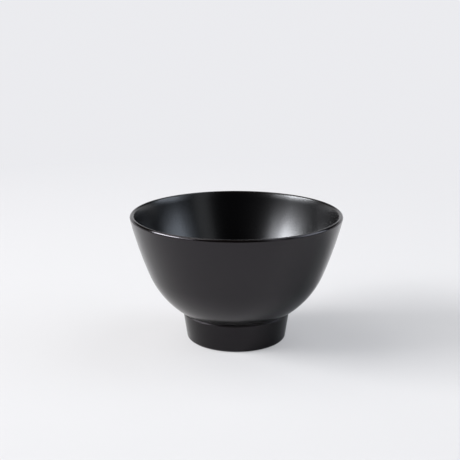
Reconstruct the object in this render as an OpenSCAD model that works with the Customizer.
// Black lacquer soup bowl on a ring foot, in millimetres.
// A turned wooden body and a wooden foot ring, glued together on a spigot, carry two coats:
// a ground that fills and evens the wood, and the black lacquer that shows.
// Each coat is laid in four areas that meet at the edges: inside, outside, foot and underside.
// +Z is up along the axis of the bowl, and the foot stands on Z = 0.

/* [Bowl] */
// Widest diameter, at the lip
rim_d = 115; // [100:1:135]
// Overall height, from the table to the top of the lip
bowl_h = 70; // [62:1:80]
// Thickness of the rounded lip
lip_t = 2.4; // [2:0.1:4]
// Radius of the belly's curve, seen from the side
belly_r = 47; // [42:1:52]
// Lean of the wall from upright where the belly passes into the side, in degrees
knee_lean = 22; // [18:1:28]
// Lean of the belly from upright where it meets the foot, in degrees
neck_lean = 58.3; // [54:0.1:66]
// Wall thickness where the belly passes into the side
knee_t = 3.8; // [3:0.1:5]
// Lean of the inside from upright at that place, where the side passes into the well, in degrees
inner_lean = 27; // [22:1:32]
// How much more the inside leans at the lip than just below it, in degrees
lip_flare = 7.5; // [3:0.5:12]
// Radius of the curve that makes this flare
lip_flare_r = 28; // [15:1:40]
// Thickness of the base in the middle of the bowl
base_t = 6; // [4:0.5:9]

/* [Foot] */
// Height of the foot, from the table to its ledge
foot_h = 15.5; // [11:0.1:20]
// Diameter of the foot at its ledge, before the edge is rounded
foot_top_d = 58.7; // [54:0.1:66]
// How far the foot's wall draws in from its ledge to the table
foot_inset = 2.35; // [0:0.05:4]
// Thickness of the foot's wall at the table
foot_wall_t = 4.5; // [3.5:0.1:8]
// Width of the ledge that the foot makes round the belly
ledge_w = 0.55; // [0.55:0.05:3]
// Depth of the hollow under the foot
hollow_h = 9.4; // [6:0.2:11]
// Rounding of the ledge's outer edge
ledge_edge_r = 0.45; // [0.25:0.05:0.45]
// Rounding of the outer edge that meets the table
base_edge_r = 1.8; // [0.8:0.1:2.4]
// Rounding of the inner edge that meets the table
hollow_edge_r = 1; // [0.8:0.1:1.6]

/* [Coats and joint] */
// Thickness of the ground coat
ground_t = 0.4; // [0.2:0.05:0.5]
// Thickness of the black lacquer coat
lacquer_t = 0.2; // [0.1:0.05:0.3]
// Room for glue round the spigot that holds the foot ring
glue_gap = 0.1; // [0.05:0.05:0.3]

/* [Hidden] */
$fn = 180;

// Steps along each kind of curve
lip_steps = 10;
side_steps = 14;
belly_steps = 20;
edge_steps = 6;
// Least rounding left on the wood where the coats are thicker than the finished edge is round
least_edge_r = 0.1;
// Least radius of the flat floor in the middle of the bowl
least_floor_r = 1;

lacquer_black = "#131214";
ground_brown = "#4a3f37";
wood_tan = "#b98a5c";

// Depth of the wood below the finished surface
coat_t = ground_t + lacquer_t;

// Lip: a round edge whose centre both walls run to
lip_r = lip_t / 2;
lip_c = [rim_d / 2 - lip_r, bowl_h - lip_r];

// Direction square to a wall that leans so many degrees from upright, pointing out and down
function out(lean) = [cos(lean), -sin(lean)];

// Lean of the wall that has this direction square to it
function lean_of(v) = -atan2(v[1], v[0]);

// Points on an arc from one lean to another, without the first, which the curve before it ends on
function arc(centre, r, from, to, steps) =
    [for (i = [1:steps]) centre + r * out(from + (to - from) * i / steps)];

// Radius of the arc that starts at a knee with a lean and runs tangent into a round end, such as the lip;
// the end's radius is negative where the arc passes on its inner side
function side_radius(knee, lean, end_c, signed_end_r) =
    let (d = knee - end_c)
    (d * d - signed_end_r * signed_end_r) / (2 * (d * out(lean) - signed_end_r));

// Lean with which that arc reaches the round end; a negative radius is a side that flares
function end_lean(centre, r, end_c, signed_end_r) = lean_of((end_c - centre) / (r - signed_end_r));

// Outside of the body: belly arc from the ledge to the knee, then the side's arc to the lip
neck = [foot_top_d / 2 - ledge_w, foot_h];
belly_c = neck - belly_r * out(neck_lean);
knee = belly_c + belly_r * out(knee_lean);
side_r = side_radius(knee, knee_lean, lip_c, lip_r);
side_c = knee - side_r * out(knee_lean);
rim_lean = end_lean(side_c, side_r, lip_c, lip_r);

// Inside of the body: a flat floor, the well's arc to the knee, the side's arc, then the flare to the lip;
// a well too wide for the floor is made shallower, and the base thicker
knee_in = knee - knee_t * out(knee_lean);
well_r = min(
    (knee_in[1] - hollow_h - base_t) / (1 - sin(inner_lean)),
    (knee_in[0] - least_floor_r) / cos(inner_lean)
);
well_c = knee_in - well_r * out(inner_lean);
floor_z = well_c[1] - well_r;
straight_r = side_radius(knee_in, inner_lean, lip_c, -lip_r);
straight_lean = end_lean(knee_in - straight_r * out(inner_lean), straight_r, lip_c, -lip_r);
flare_lean = straight_lean + lip_flare;
flare_c = lip_c + (lip_flare_r - lip_r) * out(flare_lean);
side_in_r = side_radius(knee_in, inner_lean, flare_c, -lip_flare_r);
side_in_c = knee_in - side_in_r * out(inner_lean);
rim_lean_in = end_lean(side_in_c, side_in_r, flare_c, -lip_flare_r);

// Foot: the ring's wooden top carries the body, and its bore takes the body's spigot
ring_top_z = foot_h - coat_t;
foot_base_r = foot_top_d / 2 - foot_inset;
hollow_r = foot_base_r - foot_wall_t;
ring_bore_r = hollow_r + coat_t;
spigot_r = ring_bore_r - glue_gap;
spigot_z = hollow_h + coat_t;
foot_lean = atan(foot_inset / foot_h);
function foot_wall_x(z) = foot_base_r + z * tan(foot_lean);

// Lean of the belly, at a depth below its finished surface, where it comes down to a height
function belly_lean_at(depth, z) = asin((belly_c[1] - z) / (belly_r - depth));
function belly_at(depth, z) = belly_c + (belly_r - depth) * out(belly_lean_at(depth, z));

// Point at a height on the finished belly between the ledge and the ring's wooden top
neck_foot = belly_at(0, ring_top_z);
function neck_at(z) = neck + (neck_foot - neck) * (foot_h - z) / coat_t;

function crest(depth) = lip_c + [0, lip_r - depth];

// Surfaces at a depth below the finished one, each as a row of points

// From the crest of the lip, down the inside to the middle of the floor
function inside_curve(depth) = concat(
    [crest(depth)],
    arc(lip_c, lip_r - depth, -90, flare_lean - 180, lip_steps),
    arc(flare_c, lip_flare_r - depth, flare_lean - 180, rim_lean_in - 180, edge_steps),
    arc(side_in_c, side_in_r + depth, rim_lean_in, inner_lean, side_steps),
    arc(well_c, well_r + depth, inner_lean, 90, belly_steps),
    [[0, floor_z - depth]]
);

// From the crest of the lip, down the outside to the wooden top of the foot ring
function outside_curve(depth) = concat(
    [crest(depth)],
    arc(lip_c, lip_r - depth, -90, rim_lean, lip_steps),
    arc(side_c, side_r - depth, rim_lean, knee_lean, side_steps),
    arc(belly_c, belly_r - depth, knee_lean, belly_lean_at(depth, foot_h), belly_steps),
    [belly_at(depth, ring_top_z)]
);

// From the belly, out over the ledge, down the foot, across the table and up into the hollow
function foot_curve(depth) = concat(
    [neck_at(foot_h - depth)],
    ledge_edge(depth),
    base_edge(depth),
    hollow_edge(depth),
    [[hollow_r + depth, hollow_h]]
);

// Rounded edges of the foot; each starts with the point where its arc begins
function edge(centre, r, from, to) = concat([centre + r * out(from)], arc(centre, r, from, to, edge_steps));

function ledge_edge(depth) =
    let (r = max(ledge_edge_r - depth, least_edge_r), z = foot_h - depth - r)
    edge([foot_wall_x(z) - (depth + r) / cos(foot_lean), z], r, -90, foot_lean);

function base_edge(depth) =
    let (r = max(base_edge_r - depth, least_edge_r), z = depth + r)
    edge([foot_wall_x(z) - (depth + r) / cos(foot_lean), z], r, foot_lean, 90);

function hollow_edge(depth) =
    let (r = max(hollow_edge_r - depth, least_edge_r))
    edge([hollow_r + depth + r, depth + r], r, 90, 180);

function reversed(points) = [for (i = [len(points) - 1:-1:0]) points[i]];

// Coat between two depths below one finished surface
module coat(shallow, deep) {
    rotate_extrude() polygon(concat(shallow, reversed(deep)));
}

// Flat round coat under the spigot, between two depths below the finished surface of the hollow
module disc_coat(from_depth, to_depth) {
    translate([0, 0, hollow_h + from_depth]) cylinder(r = ring_bore_r, h = to_depth - from_depth);
}

module wooden_body() {
    color(wood_tan) rotate_extrude() polygon(concat(
        outside_curve(coat_t),
        [[spigot_r, ring_top_z], [spigot_r, spigot_z], [0, spigot_z]],
        [for (i = [len(inside_curve(coat_t)) - 1:-1:1]) inside_curve(coat_t)[i]]
    ));
}

module wooden_foot_ring() {
    color(wood_tan) rotate_extrude() polygon(concat(
        foot_curve(coat_t),
        [[ring_bore_r, ring_top_z]]
    ));
}

module inside_ground() {
    color(ground_brown) coat(inside_curve(lacquer_t), inside_curve(coat_t));
}

module outside_ground() {
    color(ground_brown) coat(outside_curve(lacquer_t), outside_curve(coat_t));
}

module foot_ground() {
    color(ground_brown) coat(foot_curve(lacquer_t), foot_curve(coat_t));
}

module underside_ground() {
    color(ground_brown) disc_coat(lacquer_t, coat_t);
}

module inside_lacquer() {
    color(lacquer_black) coat(inside_curve(0), inside_curve(lacquer_t));
}

module outside_lacquer() {
    color(lacquer_black) coat(outside_curve(0), outside_curve(lacquer_t));
}

module foot_lacquer() {
    color(lacquer_black) coat(foot_curve(0), foot_curve(lacquer_t));
}

module underside_lacquer() {
    color(lacquer_black) disc_coat(0, lacquer_t);
}

wooden_body();
wooden_foot_ring();
inside_ground();
outside_ground();
foot_ground();
underside_ground();
inside_lacquer();
outside_lacquer();
foot_lacquer();
underside_lacquer();
